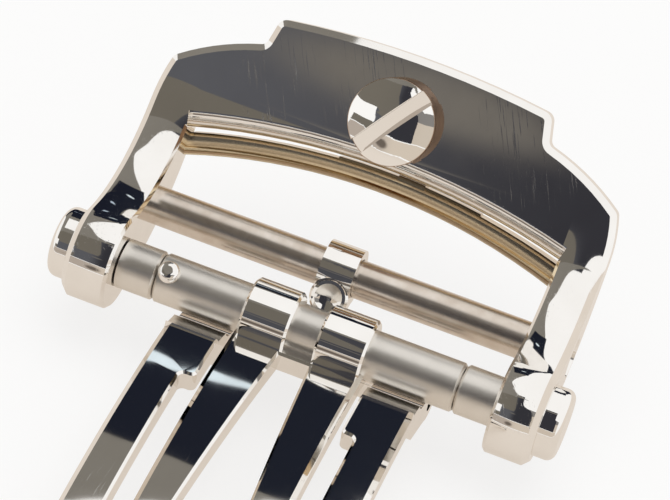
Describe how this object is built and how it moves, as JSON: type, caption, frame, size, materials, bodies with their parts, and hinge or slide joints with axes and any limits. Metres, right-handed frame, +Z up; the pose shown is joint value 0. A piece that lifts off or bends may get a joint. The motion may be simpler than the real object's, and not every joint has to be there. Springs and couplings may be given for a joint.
{
  "type": "deployant clasp",
  "caption": "Folding watch strap clasp: buckle frame with latch bar, strap bar and peg, hinged on curved blades, with side push buttons.",
  "frame": {"origin": "middle of the clasp's footprint on the table, with the clasp lying open on its blades", "axes": "+X along the hinge tube, +Y from the blades towards the buckle frame, +Z up"},
  "size_m": [0.025, 0.0384, 0.0119],
  "materials": {
    "polished_steel": "mirror polished",
    "satin_steel": "fine satin",
    "gold_tint_steel": "polished, slightly golden",
    "spring_steel": "drawn wire"
  },
  "bodies": {
    "inner": {"inner_blade": "polished_steel", "hinge_tube": "satin_steel", "collar_left": "satin_steel", "collar_right": "satin_steel", "tube_rivet": "polished_steel"},
    "frame": {"buckle_frame": "polished_steel", "latch_bar": "gold_tint_steel", "cover_screw": "polished_steel", "strap_bar": "satin_steel", "bar_screw_left": "polished_steel", "bar_screw_right": "polished_steel", "spring_left": "spring_steel", "spring_right": "spring_steel"},
    "hook": {"strap_hook": "polished_steel", "strap_peg": "polished_steel"},
    "outer": {"outer_blade": "polished_steel", "far_pin": "satin_steel"},
    "button_left": {"cap_left": "polished_steel", "plunger_left": "satin_steel"},
    "button_right": {"cap_right": "polished_steel", "plunger_right": "satin_steel"}
  },
  "joints": [
    {"name": "frame_hinge", "type": "hinge", "parent": "inner", "child": "frame", "pos_m": [0, 0.00699, 0.00367], "axis": [1, 0, 0], "range_deg": [-12, 132]},
    {"name": "blade_hinge", "type": "hinge", "parent": "inner", "child": "outer", "pos_m": [0, -0.0179, 0.0013], "axis": [1, 0, 0], "range_deg": [-170, 0]},
    {"name": "hook_turn", "type": "hinge", "parent": "frame", "child": "hook", "pos_m": [0, 0.01111, 0.0039], "axis": [1, 0, 0], "range_deg": [-20, 20]},
    {"name": "left_button", "type": "slide", "parent": "frame", "child": "button_left", "axis": [1, 0, 0], "range_m": [0, 0.0004], "stiffness_N_per_m": 1500, "springref_m": -0.0003, "deforming": ["spring_left"]},
    {"name": "right_button", "type": "slide", "parent": "frame", "child": "button_right", "axis": [-1, 0, 0], "range_m": [0, 0.0004], "stiffness_N_per_m": 1500, "springref_m": -0.0003, "deforming": ["spring_right"]}
  ]
}
